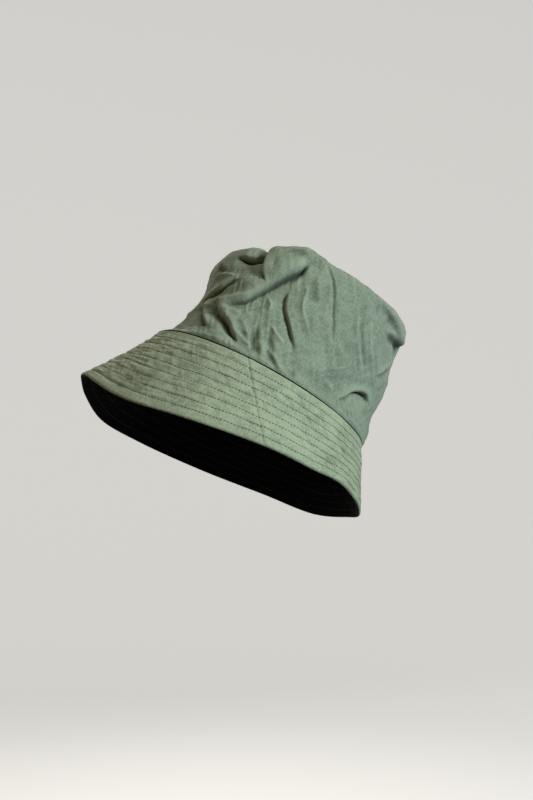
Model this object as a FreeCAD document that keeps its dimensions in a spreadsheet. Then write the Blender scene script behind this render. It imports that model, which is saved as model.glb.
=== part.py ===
import FreeCAD, Part
import os
import Sketcher

# A reversible bucket hat: a green outer hat and a black inner hat sewn together.
# Frame: +Z up, the wearer's face looks along -Y, the wearer's left hand is +X.
# Origin: the centre of the head opening, in the plane of the seam between crown and brim.
# All lengths are in millimetres.

DIMENSIONS = (
    ("head_half_length", 98.5, "head opening, centre to front"),
    ("head_half_width", 84.7, "head opening, centre to side"),
    ("brim_half_length", 127.2, "brim edge, centre to front"),
    ("brim_half_width", 120.0, "brim edge, centre to side"),
    ("brim_shift", -4.5, "the brim edge's centre lies this far along Y"),
    ("brim_drop", 64.6, "the brim edge's centre lies this far below the seam"),
    ("brim_rise", 10.1, "the edge is this much higher at the back, lower at the front"),
    ("crown_half_length", 82.3, "top of the crown, centre to front"),
    ("crown_half_width", 72.9, "top of the crown, centre to side"),
    ("crown_shift", 6.4, "the crown's top centre lies this far along Y"),
    ("crown_height", 105.9, "seam to the top of the crown"),
    ("shoulder", 8.0, "radius of the rounded edge between side and tip"),
    ("cloth", 0.7, "thickness of one layer of the cotton cloth"),
    ("interlining", 1.5, "thickness of the padding inside the brim"),
    ("tape_height", 1.0, "visible edge of the tape that binds the crown seam"),
    ("thread", 0.35, "how far a thread stands out of the cloth"),
    ("thread_width", 0.8, "width of a row of stitches"),
    ("row_count", 8, "rows of stitches round the brim"),
    ("row_gap", 8.1, "distance from one row to the next"),
    ("edge_margin", 8.0, "distance from the brim edge to the first row"),
    ("brim_slant", 73.0, "depth of the brim at the side, along the cloth"),
    ("seam_top_y", -56.0, "side seam at the top of the crown"),
    ("seam_mid_y", -41.6, "side seam at the head opening"),
    ("seam_edge_y", -8.9, "side seam at the brim edge"),
    ("seam_tape_width", 9.0, "tape that covers the side seam inside the crown"),
    ("label_half_width", 16.0, "blank care label, centre to side"),
    ("label_bottom", 14.0, "lower edge of the label above the seam"),
    ("label_top", 38.0, "upper edge of the label above the seam"),
)

doc = FreeCAD.newDocument("BucketHat")
sheet = doc.addObject("Spreadsheet::Sheet", "Sheet")
for row, (alias, value, meaning) in enumerate(DIMENSIONS, start=1):
    sheet.set(f"A{row}", meaning)
    sheet.set(f"B{row}", str(value))
    sheet.setAlias(f"B{row}", alias)
doc.recompute()

bodies = []


# ---------------------------------------------------------------- sections
# A section is an ellipse with its long axis along Y, given as five expressions:
# half length, half width, centre Y, height Z and tilt about X.

def brim_section(fraction, inset):
    """Section of the brim; fraction is 0 at the seam and 1 at the edge."""
    length = f"(Sheet.head_half_length * (1 - {fraction}) + Sheet.brim_half_length * ({fraction}))"
    width = f"(Sheet.head_half_width * (1 - {fraction}) + Sheet.brim_half_width * ({fraction}))"
    tilt = f"atan(({fraction}) * Sheet.brim_rise / {length})"
    return {
        "half_length": f"({length} - ({inset})) / cos({tilt})",
        "half_width": f"{width} - ({inset})",
        "centre_y": f"({fraction}) * Sheet.brim_shift",
        "height": f"-({fraction}) * Sheet.brim_drop",
        "tilt": tilt,
    }


def crown_section(height, inset):
    """Level section of the crown's side at a height above the seam."""
    share = f"(({height}) / Sheet.crown_height)"
    length = f"Sheet.head_half_length * (1 - {share}) + Sheet.crown_half_length * {share}"
    width = f"Sheet.head_half_width * (1 - {share}) + Sheet.crown_half_width * {share}"
    return {
        "half_length": f"{length} - ({inset})",
        "half_width": f"{width} - ({inset})",
        "centre_y": f"{share} * Sheet.crown_shift",
        "height": height,
        "tilt": None,
    }


def tip_sections(depth):
    """Three sections over the rounded shoulder, at a depth inside the outer surface."""
    low = crown_section("Sheet.crown_height - Sheet.shoulder", depth)
    round_inset = f"Sheet.shoulder * (1 - cos(45 deg)) + ({depth}) * cos(45 deg)"
    middle = crown_section(f"Sheet.crown_height - ({round_inset})", round_inset)
    high = crown_section(f"Sheet.crown_height - ({depth})", "Sheet.shoulder")
    return [low, middle, high]


# ---------------------------------------------------------------- sketches

def origin_plane(body, role):
    return next(plane for plane in body.Origin.OriginFeatures if plane.Role == role)


def new_sketch(body, name, role):
    sketch = body.newObject("Sketcher::SketchObject", name)
    sketch.AttachmentSupport = [(origin_plane(body, role), "")]
    sketch.MapMode = "FlatFace"
    return sketch


def ellipse_sketch(body, name, section):
    sketch = new_sketch(body, name, "XY_Plane")
    long_end = FreeCAD.Vector(0, 90, 0)
    short_end = FreeCAD.Vector(80, 0, 0)
    sketch.addGeometry(Part.Ellipse(long_end, short_end, FreeCAD.Vector()), False)
    sketch.exposeInternalGeometry(0)
    long_axis, short_axis = 1, 2
    sketch.addConstraint(Sketcher.Constraint("Coincident", 0, 3, -1, 1))
    sketch.addConstraint(Sketcher.Constraint("Vertical", long_axis))
    length = sketch.addConstraint(Sketcher.Constraint("Distance", long_axis, 180.0))
    width = sketch.addConstraint(Sketcher.Constraint("Distance", short_axis, 160.0))
    sketch.setExpression(f"Constraints[{length}]", f"2 * ({section['half_length']})")
    sketch.setExpression(f"Constraints[{width}]", f"2 * ({section['half_width']})")
    lean = FreeCAD.Rotation(FreeCAD.Vector(1, 0, 0), 1 if section["tilt"] else 0)
    sketch.AttachmentOffset = FreeCAD.Placement(FreeCAD.Vector(), lean)
    sketch.setExpression("AttachmentOffset.Base.y", section["centre_y"])
    sketch.setExpression("AttachmentOffset.Base.z", section["height"])
    if section["tilt"]:
        sketch.setExpression("AttachmentOffset.Rotation.Angle", section["tilt"])
    return sketch


def polygon_sketch(body, name, role, corners):
    """Closed outline; each corner is a pair of expressions, along the sketch's X and Y."""
    sketch = new_sketch(body, name, role)
    count = len(corners)
    guesses = [FreeCAD.Vector(*(float(sketch.evalExpression(value)) for value in corner), 0)
               for corner in corners]
    for index in range(count):
        line = Part.LineSegment(guesses[index], guesses[(index + 1) % count])
        sketch.addGeometry(line, False)
    for index in range(count):
        following = (index + 1) % count
        sketch.addConstraint(Sketcher.Constraint("Coincident", index, 2, following, 1))
    for index, corner in enumerate(corners):
        for kind, expression, guess in zip(("DistanceX", "DistanceY"), corner, guesses[index]):
            constraint = Sketcher.Constraint(kind, -1, 1, index, 1, guess)
            number = sketch.addConstraint(constraint)
            sketch.setExpression(f"Constraints[{number}]", expression)
    return sketch


# ---------------------------------------------------------------- features

def new_body(label):
    body = doc.addObject("PartDesign::Body", label)
    body.Label = label
    body.AllowCompound = True
    bodies.append(body)
    return body


def loft(body, kind, name, sections):
    sketches = [ellipse_sketch(body, f"{body.Name}_{name}_{number}", section)
                for number, section in enumerate(sections)]
    feature = body.newObject(f"PartDesign::{kind}", f"{body.Name}_{name}")
    feature.Profile = sketches[0]
    feature.Sections = [(sketch, [""]) for sketch in sketches[1:]]
    feature.Ruled = len(sections) == 2
    doc.recompute()
    return feature


def shell(body, outer, inner, name=""):
    """A skin between two lofts: the outer one is filled, then the inner one is taken out."""
    loft(body, "AdditiveLoft", f"outside{name}", outer)
    loft(body, "SubtractiveLoft", f"inside{name}", inner)


def cut_away(body, name, role, corners):
    """Removes everything inside an outline, both ways through the whole body."""
    volume_before = body.Shape.Volume
    pocket = body.newObject("PartDesign::Pocket", f"{body.Name}_{name}")
    pocket.Profile = polygon_sketch(body, f"{body.Name}_{name}_outline", role, corners)
    pocket.SideType = "Symmetric"
    pocket.Type = "ThroughAll"
    doc.recompute()
    if body.Shape.Volume >= volume_before * 0.999:
        raise RuntimeError(f"{pocket.Name} cuts nothing")


# The side seams lie in a plane that stands upright across the hat and leans in side view.
SEAM_LINE = (
    ("Sheet.seam_top_y", "Sheet.crown_height"),
    ("Sheet.seam_mid_y", "0"),
    ("Sheet.seam_edge_y", "-Sheet.brim_drop"),
    ("2 * Sheet.seam_edge_y - Sheet.seam_mid_y", "-2 * Sheet.brim_drop"),
)
FAR = 300


def keep_half(body, half):
    """Cuts the ring of cloth at the side seams and keeps its front or its back half."""
    far_y = FAR if half == "front" else -FAR
    corners = [(f"{far_y}", "2 * Sheet.crown_height")]
    corners.append((SEAM_LINE[0][0], "2 * Sheet.crown_height"))
    corners.extend(SEAM_LINE)
    corners.append((f"{far_y}", "-2 * Sheet.brim_drop"))
    cut_away(body, "split", "YZ_Plane", corners)


# ---------------------------------------------------------------- depths of the layers

OUTER = "0"
CLOTH = "Sheet.cloth"
PADDING = "Sheet.cloth + Sheet.interlining"
LINING = "2 * Sheet.cloth + Sheet.interlining"
SEAM_SHARE = "(Sheet.tape_height / Sheet.brim_drop)"
SIDE_TOP = "Sheet.crown_height - Sheet.shoulder"


# ---------------------------------------------------------------- brim

def brim_layer(name, outside, inside, last_share):
    for half in ("front", "back"):
        body = new_body(f"{name}_{half}")
        shares = (SEAM_SHARE, last_share)
        outer = [brim_section(share, outside) for share in shares]
        inner = [brim_section(share, inside) for share in shares]
        shell(body, outer, inner)
        keep_half(body, half)


def brim_stitches(name, surface, proud):
    """Rows of thread that follow the brim edge, on one face of the brim."""
    body = new_body(name)
    for number in range(int(sheet.get("row_count"))):
        distance = f"(Sheet.edge_margin + {number} * Sheet.row_gap)"
        half_row = "Sheet.thread_width / 2"
        shares = [f"(1 - ({distance} {sign} {half_row}) / Sheet.brim_slant)" for sign in "+-"]
        outer = [brim_section(share, surface) for share in shares]
        inner = [brim_section(share, proud) for share in shares]
        shell(body, outer, inner, f"_row{number}")


# ---------------------------------------------------------------- crown

def crown_side(name, outside, inside):
    for half in ("front", "back"):
        body = new_body(f"{name}_{half}")
        heights = ("0", SIDE_TOP)
        outer = [crown_section(height, outside) for height in heights]
        inner = [crown_section(height, inside) for height in heights]
        shell(body, outer, inner)
        keep_half(body, half)


def crown_top(name, outside, inside):
    body = new_body(name)
    shell(body, tip_sections(outside), tip_sections(inside))


def seam_tape():
    """Tape that binds the crown seam; its edge shows between crown and brim."""
    body = new_body("crown_seam_tape")
    outer = [brim_section("0", OUTER), brim_section(SEAM_SHARE, OUTER)]
    inner = [brim_section("0", LINING), brim_section(SEAM_SHARE, LINING)]
    shell(body, outer, inner)


def ring_in_gap(name, low, high):
    """Row of thread that lies in the gap between the outer crown and its lining."""
    body = new_body(name)
    outside = f"{CLOTH} + Sheet.thread"
    inside = f"{CLOTH} + 3 * Sheet.thread"
    outer = [crown_section(height, outside) for height in (low, high)]
    inner = [crown_section(height, inside) for height in (low, high)]
    shell(body, outer, inner)


def side_seam_tapes():
    """Two strips inside the crown that cover its side seams, left and right."""
    body = new_body("side_seam_tapes")
    heights = ("2 * Sheet.thread_width", SIDE_TOP)
    outer = [crown_section(height, CLOTH) for height in heights]
    inner = [crown_section(height, f"{CLOTH} + Sheet.thread") for height in heights]
    shell(body, outer, inner)
    for half, sign in (("front", "+"), ("back", "-")):
        far_y = FAR if half == "front" else -FAR
        shift = f"{sign} Sheet.seam_tape_width / 2"
        corners = [
            (f"{far_y}", "2 * Sheet.crown_height"),
            (f"Sheet.seam_top_y {shift}", "2 * Sheet.crown_height"),
            (f"Sheet.seam_top_y {shift}", "Sheet.crown_height"),
            (f"Sheet.seam_mid_y {shift}", "0"),
            (f"Sheet.seam_mid_y {shift}", "-Sheet.brim_drop"),
            (f"{far_y}", "-Sheet.brim_drop"),
        ]
        cut_away(body, f"trim_{half}", "YZ_Plane", corners)


def care_label():
    """Blank label that follows the lining at the back of the head."""
    body = new_body("care_label")
    heights = ("Sheet.label_bottom", "Sheet.label_top")
    outer = [crown_section(height, LINING) for height in heights]
    inner = [crown_section(height, f"{LINING} + Sheet.thread") for height in heights]
    shell(body, outer, inner)
    side = "Sheet.label_half_width"
    corners = [(f"-{side}", f"{FAR}"), (f"-{FAR}", f"{FAR}"), (f"-{FAR}", f"-{FAR}"),
               (f"{FAR}", f"-{FAR}"), (f"{FAR}", f"{FAR}"), (side, f"{FAR}"),
               (side, "0"), (f"-{side}", "0")]
    cut_away(body, "trim", "XY_Plane", corners)


brim_layer("brim_top", OUTER, CLOTH, "1")
brim_layer("brim_interlining", CLOTH, PADDING, "0.98")
brim_layer("brim_under", PADDING, LINING, "1")
brim_stitches("brim_stitch_rows", "-Sheet.thread", OUTER)
brim_stitches("brim_bobbin_rows", LINING, f"{LINING} + Sheet.thread")
crown_side("crown_side", OUTER, CLOTH)
crown_top("crown_tip", OUTER, CLOTH)
crown_side("lining_side", PADDING, LINING)
crown_top("lining_tip", PADDING, LINING)
seam_tape()
ring_in_gap("crown_seam_thread", "0", "Sheet.thread_width")
ring_in_gap("tip_seam_thread", f"{SIDE_TOP} - Sheet.thread_width", SIDE_TOP)
side_seam_tapes()
care_label()
doc.recompute()


# ---------------------------------------------------------------- checks and export

for item in doc.Objects:
    if "Invalid" in item.State or "Error" in item.State:
        raise RuntimeError(f"{item.Name} did not compute: {item.State}")
for body in bodies:
    if body.Shape.isNull() or not body.Shape.isValid():
        raise RuntimeError(f"{body.Label} has no valid shape")
    if not body.Shape.Solids:
        raise RuntimeError(f"{body.Label} has no solid")

os.makedirs("parts", exist_ok=True)
for body in bodies:
    box = body.Shape.BoundBox
    print(f"{body.Label}: {len(body.Shape.Solids)} solids, {body.Shape.Volume:.0f} mm3, "
          f"x {box.XMin:.1f}..{box.XMax:.1f}, y {box.YMin:.1f}..{box.YMax:.1f}, "
          f"z {box.ZMin:.1f}..{box.ZMax:.1f}")
    body.Shape.exportStep(f"parts/{body.Label}.step")
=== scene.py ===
import math

import bpy
import numpy as np
from mathutils import Matrix, Vector


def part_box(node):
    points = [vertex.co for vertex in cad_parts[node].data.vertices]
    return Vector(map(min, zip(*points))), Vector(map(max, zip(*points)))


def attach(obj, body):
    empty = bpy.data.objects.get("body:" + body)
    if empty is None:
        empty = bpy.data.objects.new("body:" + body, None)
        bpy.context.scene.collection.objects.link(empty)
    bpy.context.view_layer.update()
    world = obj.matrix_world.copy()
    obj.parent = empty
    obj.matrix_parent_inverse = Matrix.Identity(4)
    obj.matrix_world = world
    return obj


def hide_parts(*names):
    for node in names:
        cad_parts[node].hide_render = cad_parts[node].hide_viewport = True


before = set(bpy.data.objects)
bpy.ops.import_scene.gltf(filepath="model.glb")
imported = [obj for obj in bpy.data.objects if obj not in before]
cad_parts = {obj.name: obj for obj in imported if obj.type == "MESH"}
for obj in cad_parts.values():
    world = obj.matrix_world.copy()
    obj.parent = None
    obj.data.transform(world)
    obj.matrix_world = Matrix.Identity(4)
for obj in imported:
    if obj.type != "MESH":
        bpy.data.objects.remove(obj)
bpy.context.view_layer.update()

# The looks of a reversible bucket hat, built over its CAD model. Metres; +Z up, the wearer
# faces -Y and the wearer's left hand is +X. Azimuth is 0 at the front, 90 at the wearer's left
# and 180 at the back.

MM = 0.001


# ---------------------------------------- sizes, from the CAD nodes

def corners(node):
    low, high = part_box(node)
    return np.array(low), np.array(high)


HEAD_HALF_WIDTH, HEAD_HALF_LENGTH, SIDE_TOP = corners("crown_side_back")[1]
TIP_LOW, TIP_HIGH = corners("crown_tip")
TIP_HALF_WIDTH = TIP_HIGH[0]
TIP_HALF_LENGTH = (TIP_HIGH[1] - TIP_LOW[1]) / 2
TIP_SHIFT = (TIP_HIGH[1] + TIP_LOW[1]) / 2
SHOULDER = TIP_HIGH[2] - SIDE_TOP

EDGE_FRONT = corners("brim_top_front")[0]
EDGE_BACK = corners("brim_top_back")[1]
EDGE_HALF_WIDTH = EDGE_BACK[0]
EDGE_HALF_LENGTH = (EDGE_BACK[1] - EDGE_FRONT[1]) / 2
EDGE_SHIFT = (EDGE_BACK[1] + EDGE_FRONT[1]) / 2
EDGE_RISE = 10.1 * MM
EDGE_DROP = -EDGE_FRONT[2] - EDGE_RISE

TAPE_SHARE = 1.0 * MM / EDGE_DROP
CLOTH = 0.7 * MM
BRIM_THICKNESS = 2.9 * MM
LINING_DEPTH = 2.2 * MM

# The side seams run in a leaning plane: its Y at the top of the side, the opening and the edge.
SEAM_TOP_Y = -55 * MM
SEAM_MID_Y = -41.6 * MM
SEAM_EDGE_Y = -8.9 * MM

# ---------------------------------------- grids

ROW_COUNT = 8
STEPS_PER_ROW = 16
FRONT_COLUMNS = 360
BACK_COLUMNS = 560
COLUMNS = FRONT_COLUMNS + BACK_COLUMNS
SIDE_ROWS = 112
SHOULDER_ROWS = 14
TIP_ROWS = 36
TIP_SEAM = SIDE_ROWS + SHOULDER_ROWS
SEAM_COLUMNS = (0, FRONT_COLUMNS)
CROWN_RADIUS = 82 * MM
CROWN_ROUND = 2 * np.pi * CROWN_RADIUS
BRIM_RADIUS = 105 * MM
BRIM_ROUND = 2 * np.pi * BRIM_RADIUS
BRIM_SLANT = 75 * MM


def smooth(x, low, high):
    """0 below low, 1 above high, with a soft step between."""
    t = np.clip((x - low) / (high - low), 0, 1)
    return t * t * (3 - 2 * t)


def bell(x, centre, width):
    return np.exp(-((x - centre) / width) ** 2)


def turn(azimuth, centre):
    """Difference of two azimuths in degrees, from -180 to 180."""
    return (azimuth - centre + 180) % 360 - 180


def smooth_noise(x, y, seed, wrap=0):
    """Soft noise from -1 to 1 with a cell size of 1; it repeats every wrap cells of x."""
    values = np.random.default_rng(seed).uniform(-1, 1, (128, 128))
    cell_x, cell_y = np.floor(x).astype(int), np.floor(y).astype(int)
    part_x, part_y = x - cell_x, y - cell_y
    part_x = part_x * part_x * (3 - 2 * part_x)
    part_y = part_y * part_y * (3 - 2 * part_y)
    period = wrap or 128

    def at(step_x, step_y):
        return values[(cell_x + step_x) % period % 128, (cell_y + step_y) % 128]

    low = at(0, 0) * (1 - part_x) + at(1, 0) * part_x
    high = at(0, 1) * (1 - part_x) + at(1, 1) * part_x
    return low * (1 - part_y) + high * part_y


def seam_angle(half_length, shift, seam_y):
    """Azimuth, in radians, where the seam's plane meets an oval."""
    return np.arccos(np.clip((shift - seam_y) / half_length, -1, 1))


def column_angles(seam):
    """Azimuths of the grid's columns: the front panel's first, then the back panel's."""
    front = np.linspace(0, 1, FRONT_COLUMNS, endpoint=False)
    back = np.linspace(0, 1, BACK_COLUMNS, endpoint=False)
    seam = np.asarray(seam)[:, None]
    front_angles = -seam + 2 * seam * front
    back_angles = seam + (2 * np.pi - 2 * seam) * back
    return np.concatenate([front_angles, back_angles], axis=1)


def normals_of(points):
    """Unit normals of a grid that is closed along its columns; outwards for rows that go up."""
    along = np.roll(points, -1, axis=1) - np.roll(points, 1, axis=1)
    across = np.gradient(points, axis=0)
    normal = np.cross(along, across)
    return normal / np.maximum(np.linalg.norm(normal, axis=2, keepdims=True), 1e-12)


def blur(field, rounds):
    """Soft average of a grid with its neighbours, closed along the columns."""
    for _ in range(rounds):
        field = (np.roll(field, 1, axis=1) + 2 * field + np.roll(field, -1, axis=1)) / 4
        padded = np.concatenate([field[:1], field, field[-1:]], axis=0)
        field = (padded[:-2] + 2 * field + padded[2:]) / 4
    return field


def lowest_nearby(field, reach):
    """Smallest value within a few grid cells."""
    for _ in range(reach):
        field = np.minimum(np.minimum(np.roll(field, 1, axis=1), np.roll(field, -1, axis=1)), field)
        padded = np.concatenate([field[:1], field, field[-1:]], axis=0)
        field = np.minimum(np.minimum(padded[:-2], padded[2:]), field)
    return field


# ---------------------------------------- the crown's surface

def crown_profile():
    """Rows of the crown from the seam up, over the shoulder and in to the centre of the tip:
    height, inset from the side's slope, share of the oval left, and distance along the cloth."""
    side = np.linspace(0, SIDE_TOP, SIDE_ROWS, endpoint=False)
    bend = np.linspace(0, math.pi / 2, SHOULDER_ROWS, endpoint=False)
    tip = np.linspace(0, 1, TIP_ROWS) ** 0.9
    height = np.concatenate([side, SIDE_TOP + SHOULDER * np.sin(bend), np.full(TIP_ROWS, TIP_HIGH[2])])
    inset = np.concatenate([side * 0, SHOULDER * (1 - np.cos(bend)), np.full(TIP_ROWS, SHOULDER)])
    share = np.concatenate([side * 0 + 1, bend * 0 + 1, 1 - 0.998 * tip])
    along = np.concatenate([side, SIDE_TOP + SHOULDER * bend,
                            SIDE_TOP + SHOULDER * math.pi / 2 + tip * TIP_HALF_WIDTH])
    return height, inset, share, along


PROFILE_HEIGHT, PROFILE_INSET, PROFILE_SHARE, PROFILE_ALONG = crown_profile()


def crown_base():
    """Grid of the smooth crown, and the azimuth of each of its points in degrees."""
    part = PROFILE_HEIGHT / SIDE_TOP
    width = HEAD_HALF_WIDTH + (TIP_HALF_WIDTH - HEAD_HALF_WIDTH) * part
    length = HEAD_HALF_LENGTH + (TIP_HALF_LENGTH - HEAD_HALF_LENGTH) * part
    shift = TIP_SHIFT * part
    seam_y = SEAM_MID_Y + (SEAM_TOP_Y - SEAM_MID_Y) * np.minimum(part, 1)
    angle = column_angles(seam_angle(length, shift, seam_y))
    width = (width - PROFILE_INSET) * PROFILE_SHARE
    length = (length - PROFILE_INSET) * PROFILE_SHARE
    points = np.stack([
        width[:, None] * np.sin(angle),
        -length[:, None] * np.cos(angle) + shift[:, None],
        np.broadcast_to(PROFILE_HEIGHT[:, None], angle.shape),
    ], axis=2)
    return points, np.degrees(angle)


# Broad changes of shape: azimuth and height of the middle, how far each reaches (degrees and mm),
# and how far the cloth moves outwards and up (mm).
SHAPES = (
    (-14, 40, 34, 22, -7.0, 0.0),
    (-10, 8, 40, 14, -2.0, 0.0),
    (-15, 88, 42, 22, 7.5, 1.6),
    (60, 104, 14, 16, 0.5, 6.8),
    (52, 84, 9, 12, 2.2, 0.0),
    (34, 64, 9, 10, 2.5, 0.0),
    (28, 54, 6, 5, 2.0, 0.0),
    (36, 95, 5, 5, -3.0, 0.0),
    (168, 16, 14, 14, 2.4, 0.0),
    (44, 20, 14, 16, 3.2, 0.0),
    (12, 14, 14, 13, -1.6, 0.0),
    (24, 104, 9, 14, 0.0, 3.0),
    (60, 44, 12, 12, 1.8, 0.0),
    (72, 62, 5, 20, 1.8, 0.0),
    (86, 96, 16, 16, 0.5, 2.5),
    (122, 100, 30, 16, 0.5, 5.5),
    (150, 96, 16, 12, 2.5, 0.0),
    (144, 70, 10, 12, -1.6, 0.0),
    (122, 12, 12, 9, 1.0, 0.0),
    (132, 20, 9, 8, -2.6, 0.0),
    (150, 14, 7, 7, -1.4, 0.0),
)


def wall(path, width, hollow, cliff, reach, depth=0, pull=0, tips=(0.34, 0.34), ends=(1, 1)):
    """A fold along a path of (azimuth in degrees, height in mm); its other sizes are in mm. The cloth
    rises softly from a hollow on the path's left to a cliff on its right, and both fade out within the
    reach on their side. Depth sinks a crease at the wall's foot, and pull draws the cliff over the
    hollow. Tips are the shares of the path over which its two ends fade, and ends widen or narrow it."""
    return dict(path=path, width=width, hollow=hollow, cliff=cliff, reach=reach, depth=depth, pull=pull,
                tips=tips, ends=ends)


def ridge(path, width, height):
    """A soft ridge along a path, or a groove where the height is negative."""
    return wall(path, width, 0, 0, (4, 4), depth=-height)


FOLDS = (
    # the notch at the top, where the slumped front tucks under the near side
    wall([(48, 68), (44, 78), (41, 89), (39, 98), (41, 107)], 1.5, 9, 2.8, (6, 12), depth=3, pull=3.6,
         tips=(0.3, 0.3)),
    wall([(40, 100), (34, 98), (27, 93), (17, 89)], 1.8, 9, 3, (5, 6), depth=3.5, pull=2.6,
         tips=(0.2, 0.4)),
    # the long slanting fold from the pinch down to the front
    wall([(64, 93), (56, 80), (51, 69), (47, 58), (43, 47), (35, 37)], 2.4, 4.4, 3.2, (9, 10), depth=1,
         pull=2.4, tips=(0.12, 0.25)),
    wall([(60, 70), (62, 79), (64, 88), (65, 97)], 2.4, 1.8, 0.8, (4, 5)),
    wall([(63, 98), (54, 99), (45, 98)], 1.8, 1.8, 1.4, (5, 5)),
    # the deep upright fold and the wavy ridge beside it
    wall([(83, 24), (75, 39), (67, 53), (62, 70)], 1.2, 2, 2.2, (4, 7), depth=1, pull=0.8, tips=(0.3, 0.2)),
    ridge([(66, 82), (71, 75), (73, 62), (79, 51), (85, 41)], 1.8, 2),
    wall([(80, 70), (75, 79), (71, 89)], 2.6, 2, 1, (5, 5)),
    # the curled folds low on the near side
    wall([(58, 8), (52, 15), (47, 22), (40, 28), (33, 34), (26, 45)], 3, 6.5, 4, (4, 7), depth=2, pull=2,
         tips=(0.3, 0.12), ends=(0.5, 1.6)),
    wall([(38, 12), (28, 22), (20, 31), (12, 42)], 3, 6, 3.2, (4, 5), depth=1.6, pull=1.6, tips=(0.3, 0.12),
         ends=(0.5, 1.6)),
    wall([(60, 14), (55, 22), (49, 30)], 2.2, 1.8, 1.6, (4, 4)),
    wall([(69, 6), (64, 18), (60, 32)], 2.2, 2.2, 1.8, (4, 4), depth=0.4),
    ridge([(50, 20), (58, 14), (65, 10)], 1.6, 1.6),
    wall([(76, 12), (71, 21), (66, 30)], 2.2, 1.7, 1.1, (4, 4)),
    wall([(70, 0), (69, 7), (66, 17)], 1.8, 1.4, 1, (4, 4)),
    wall([(83, -2), (76, 8), (69, 18)], 1.8, 2.2, 1.6, (4, 4), depth=0.4),
    wall([(89, 0), (88, 5), (87, 10)], 1.4, 1, 0.6, (3, 3)),
    # thin ridges between them
    ridge([(36, 33), (43, 35), (51, 31)], 1.8, 1.6),
    ridge([(54, 58), (59, 51), (60, 43)], 1.7, 1.6),
    ridge([(63, 37), (70, 30), (77, 24)], 1.7, 1.8),
    # fine pressed lines
    wall([(101, 34), (95, 56), (90, 70), (84, 86), (78, 96), (71, 103), (64, 106)], 1, 1, -0.2, (1.5, 4),
         depth=0.9),
    ridge([(97, 90), (104, 76), (114, 55), (125, 34)], 2, 1.4),
    ridge([(104, 84), (116, 60), (127, 40)], 2.6, -1.4),
    ridge([(110, 86), (123, 62), (136, 42)], 2, 1.4),
    ridge([(92, 60), (98, 44), (105, 26)], 2.4, 1.2),
    # the buckle above the brim near the back
    wall([(143, 29), (134, 34), (127, 32), (121, 26), (117, 17), (113, 8)], 1.5, 4.6, 3, (6, 7), depth=1.6,
         pull=2.2),
    ridge([(101, 20), (106, 17), (111, 13)], 2, 1.4),
    # folds that spring from the back corner of the top
    wall([(155, 90), (139, 94), (126, 98), (112, 101)], 2.6, 3.4, 1.4, (6, 6), tips=(0.1, 0.4)),
    wall([(155, 92), (139, 89), (125, 85)], 2.2, 3.4, 2, (5, 5), depth=0.8, tips=(0.1, 0.4)),
    wall([(158, 78), (144, 64), (132, 51)], 1.8, 2.4, 1.8, (5, 5), depth=0.8),
    # slanting folds on the shaded front
    wall([(35, 65), (28, 60), (22, 52), (14, 46), (5, 41)], 1.8, 4.2, 3, (4, 5), depth=1.6, pull=1.4),
    ridge([(16, 33), (28, 38), (38, 46), (46, 57)], 2.2, 2.4),
    ridge([(2, 66), (9, 65), (19, 66), (31, 67)], 2.4, 2.4),
    wall([(18, 72), (9, 77), (1, 79)], 2.6, 2.4, 2, (5, 5), depth=0.8),
    wall([(8, 22), (-6, 28), (-18, 30)], 2.6, 1.8, 1.4, (6, 6)),
    wall([(24, 6), (12, 11), (0, 14)], 2, 1.4, 1, (5, 5)),
)

# Down for the draping, in which the hat is worn tilted back on the head.
DOWN = Vector((-0.08, 0.51, -0.86)).normalized()


def curve_between(before, start, end, after, t):
    """Smooth curve from start to end through their neighbours, at shares t of the way."""
    return 0.5 * (2 * start + (end - before) * t + (2 * before - 5 * start + 4 * end - after) * t ** 2
                  + (3 * start - before - 3 * end + after) * t ** 3)


def fold_path(points, steps=10):
    """A smooth path through (azimuth, height) points, in metres along the cloth."""
    knots = np.array([(math.radians(a) * CROWN_RADIUS, h * MM) for a, h in points])
    knots = np.concatenate([2 * knots[:1] - knots[1:2], knots, 2 * knots[-1:] - knots[-2:-1]])
    pieces = []
    for index in range(1, len(knots) - 2):
        t = np.linspace(0, 1, steps, endpoint=False)[:, None]
        pieces.append(curve_between(*knots[index - 1:index + 3], t))
    return np.concatenate(pieces + [knots[-2:-1]])


def distance_to_path(x, y, path):
    """Signed distance to a path (positive on its right), the share of its length, and the
    direction across it, for every point of a grid."""
    best = np.full(x.shape, 1e9)
    share = np.zeros(x.shape)
    side = np.zeros(x.shape)
    across = np.zeros(x.shape + (2,))
    lengths = np.linalg.norm(np.diff(path, axis=0), axis=1)
    total = lengths.sum()
    before = 0
    for start, end, length in zip(path[:-1], path[1:], lengths):
        way = (end - start) / length
        off_x, off_y = x - start[0], y - start[1]
        t = np.clip(off_x * way[0] + off_y * way[1], 0, length)
        gap_x, gap_y = off_x - t * way[0], off_y - t * way[1]
        gap = np.hypot(gap_x, gap_y)
        nearer = gap < best
        best = np.where(nearer, gap, best)
        share = np.where(nearer, (before + t) / total, share)
        side = np.where(nearer, np.sign(gap_x * way[1] - gap_y * way[0]), side)
        across[nearer] = (way[1], -way[0])
        before += length
    return best * side, share, across


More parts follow.
